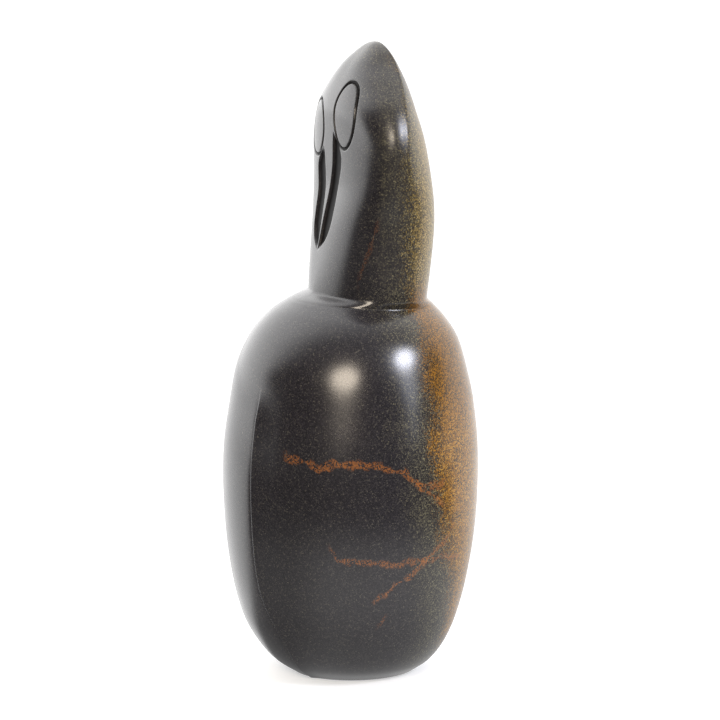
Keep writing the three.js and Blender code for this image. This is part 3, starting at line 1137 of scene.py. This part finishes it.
@dataclass(frozen=True)
class Studio:
    """The camera, the soft lights, the white surround and the pale floor."""

    azimuth: float = 68.0
    elevation: float = 9.34
    distance: float = 1400.0
    lens: float = 184.8
    sensor: float = 36.0
    far_clip: float = 100000.0
    aim: tuple[float, float, float] = (0.0, 0.45, 120.0)
    pan: float = 3.22  # how far right of the aim the picture's middle lies
    lift: float = -0.45
    lights: tuple[SoftLight, ...] = (
        SoftLight("warm_light", 60.5, 24.5, 680.0, 520.0, 14.2, "#fff0dc"),
        SoftLight("warm_low", 57.0, 9.0, 460.0, 480.0, 0.22, "#fff4e6"),
        SoftLight("cool_light", 129.0, 31.0, 520.0, 420.0, 19.0, "#eef1ff"),
        SoftLight("cool_low", 127.0, 14.0, 420.0, 480.0, 2.0, "#e6edff"),
    )

    # The surround's brightness: walls beside and behind the carving, a ceiling, and the dark studio in front
    left_wall: float = 3.1
    right_wall: float = 1.5
    wall_turn: tuple[float, float] = (-0.5, 1.0)  # from the right wall to the left one
    ceiling: float = 0.38
    ceiling_rise: tuple[float, float] = (0.42, 0.85)
    dark_side: float = 0.1
    # Where the walls end and the dark starts, as how far a direction points towards the camera, by how far it
    # rises. Higher up the edge is soft, where the walls blend into the ceiling.
    wall_end: Fade = Fade(0.0, 0.15, 0.0, -0.25)
    dark_start: Fade = Fade(0.0, 0.15, 0.38, 0.08)
    soft_rise: tuple[float, float] = (0.22, 0.68)
    soft_dark_start: float = 0.5
    right_farther: Fade = Fade(-0.8, 0.0, 0.22, 0.0)  # the right wall ends farther back

    floor_colour: str = "#cfcfcf"
    floor_glow: float = 0.5
    floor_half: float = 6000.0
    floor_drop: float = 0.05
    # The floor's painted glow in the polish, by the distance in metres: near the carving it is dimmed into a
    # painted shadow, then farther off, where it is white behind the carving and dark in front
    near_floor_shadow: Fade = Fade(0.035, 0.11, 0.75, 1.1)
    near_to_far: tuple[float, float] = (0.13, 0.32)
    far_floor: float = 2.0
    far_floor_end: Fade = Fade(0.5, 0.95, -0.28, -0.1)
    dark_floor_start: Fade = Fade(0.5, 0.95, -0.06, 0.32)
    dark_floor: Fade = Fade(0.5, 0.95, 0.12, 0.24)
    # On the picture's left the near floor's painted glow is brighter behind the carving and dimmer in front
    # of it
    bright_behind: Fade = Fade(0.2, 0.8, 1.0, 1.8)
    dim_in_front: Fade = Fade(0.2, 0.95, 1.0, 0.45)
    behind_to_front: tuple[float, float] = (-0.3, -0.05)

    def _direction(self, azimuth: float, elevation: float = 0.0) -> Vector:
        """Returns the direction from the carving at an azimuth and an elevation in degrees."""
        a, e = math.radians(azimuth), math.radians(elevation)
        return Vector((math.sin(a) * math.cos(e), -math.cos(a) * math.cos(e), math.sin(e)))

    def _link(self, name: str, data: bpy.types.ID, place: Vector, look_at: Vector) -> bpy.types.Object:
        """Places a camera or a light.

        Args:
            name: Its name.
            data: The camera or light.
            place: Where it stands, in millimetres.
            look_at: What it looks at.

        Returns:
            The new object.
        """
        thing = bpy.data.objects.new(name, data)
        bpy.context.scene.collection.objects.link(thing)
        thing.location = place * MM
        thing.rotation_euler = (look_at - place).to_track_quat("-Z", "Y").to_euler()
        return thing

    def camera(self) -> None:
        """Sets up the camera at the picture's own viewing angle."""
        data = bpy.data.cameras.new("camera")
        data.sensor_width = self.sensor
        data.lens = self.lens
        data.clip_end = self.far_clip * MM
        aim, back = Vector(self.aim), self._direction(self.azimuth, self.elevation)
        right = back.cross(Vector((0, 0, 1))).normalized() * -1
        up = back.cross(right)
        middle = aim + right * self.pan + up * self.lift
        bpy.context.scene.camera = self._link("camera", data, aim + back * self.distance, middle)

    def light(self) -> None:
        """Sets up the soft lights."""
        aim = Vector(self.aim)
        for soft in self.lights:
            data = bpy.data.lights.new(soft.name, "AREA")
            data.shape = "ELLIPSE"
            data.size, data.size_y = soft.width * MM, soft.height * MM
            data.energy = soft.power
            data.color = linear(soft.colour)[:3]
            back = self._direction(soft.azimuth, soft.elevation)
            self._link(soft.name, data, aim + back * soft.distance, aim)

    def surround(self) -> None:
        """Sets up the surround, which is white behind the carving and dark before it."""
        world = bpy.data.worlds.new("white_surround")
        bpy.context.scene.world = world
        world.use_nodes = True
        tree = world.node_tree
        tree.nodes.clear()
        node = partial(add, tree)
        look = node("ShaderNodeTexCoord").outputs["Generated"]
        front = node(Kind.ALONG, look, self._direction(self.azimuth))
        left = node(Kind.ALONG, look, self._direction(self.azimuth - 90))
        rise = node("ShaderNodeSeparateXYZ", look).outputs["Z"]
        wall_end = node(Kind.EASED, rise, *self.wall_end)
        dark_start = node(Kind.EASED, rise, *self.dark_start)
        dark_start = node(Kind.EASED, rise, *self.soft_rise, dark_start, self.soft_dark_start)
        walls = node(Kind.EASED, left, *self.wall_turn, self.right_wall, self.left_wall)
        dark = node(Kind.EASED, rise, *self.ceiling_rise, self.dark_side, self.ceiling)
        front = node(Kind.PLUS, front, node(Kind.EASED, left, *self.right_farther))
        strength = node(Kind.EASED, front, wall_end, dark_start, walls, dark)
        lit = node("ShaderNodeBackground", WHITE, strength)
        plain = node("ShaderNodeBackground", WHITE, 1.0)
        seen = node("ShaderNodeLightPath").outputs["Is Camera Ray"]
        node("ShaderNodeOutputWorld", node("ShaderNodeMixShader", seen, lit, plain))

    def floor(self) -> None:
        """Lays the plain pale floor."""
        mesh = bpy.data.meshes.new("pale_floor")
        half, drop = self.floor_half * MM, -self.floor_drop * MM
        corners = [(-half, -half, drop), (half, -half, drop), (half, half, drop), (-half, half, drop)]
        mesh.from_pydata(corners, [], [(0, 1, 2, 3)])
        mesh.materials.append(self._card())
        floor = bpy.data.objects.new("pale_floor", mesh)
        bpy.context.scene.collection.objects.link(floor)

    def _card(self) -> bpy.types.Material:
        """Builds the floor's material: matt card that the camera sees plain, and a glow of painted light and
        painted shadow that only the polish sees.

        Returns:
            The material.
        """
        material = bpy.data.materials.new("pale_card")
        material.use_nodes = True
        tree = material.node_tree
        tree.nodes.clear()
        node = partial(add, tree)
        matt = {"Base Color": linear(self.floor_colour), "Roughness": 1.0, "Specular IOR Level": 0.0,
                "Emission Color": WHITE, "Emission Strength": self.floor_glow}
        place = node("ShaderNodeTexCoord").outputs["Object"]
        away, heading = node(Kind.LENGTH, place), node(Kind.HEADING, place)
        front = node(Kind.ALONG, heading, self._direction(self.azimuth))
        left = node(Kind.ALONG, heading, self._direction(self.azimuth - 90))
        walls = node(Kind.EASED, left, *self.wall_turn, self.right_wall, self.far_floor)
        far_end = node(Kind.EASED, away, *self.far_floor_end)
        dark_start = node(Kind.EASED, away, *self.dark_floor_start)
        dark = node(Kind.EASED, away, *self.dark_floor)
        far = node(Kind.EASED, front, far_end, dark_start, walls, dark)
        behind = node(Kind.EASED, left, *self.bright_behind)
        ahead = node(Kind.EASED, left, *self.dim_in_front)
        share = node(Kind.EASED, front, *self.behind_to_front, behind, ahead)
        # Painted shadow near the carving, and painted light farther off, in a glow that only the polish sees
        near = node(Kind.TIMES, node(Kind.EASED, away, *self.near_floor_shadow), share)
        lit = node("ShaderNodeEmission", WHITE, node(Kind.EASED, away, *self.near_to_far, near, far))
        seen = node("ShaderNodeLightPath").outputs["Is Camera Ray"]
        plain = node("ShaderNodeBsdfPrincipled", **matt)
        node("ShaderNodeOutputMaterial", node("ShaderNodeMixShader", seen, lit, plain))
        return material


def main() -> None:
    """Builds the carving and its setting."""
    studio = Studio()
    studio.camera()
    studio.light()
    studio.surround()
    studio.floor()
    bpy.context.scene.view_settings.view_transform = "Standard"
    stone = CarvedStone().build()
    ChiselAndPolish().work(stone, PolishedSoapstone().material())
    log.info("carved stone: %d facets", len(stone.data.polygons))
    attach(stone, "root")
    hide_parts("bird_carving")


if __name__ == "__main__":
    logging.basicConfig(level=logging.INFO, format="%(message)s")
    main()
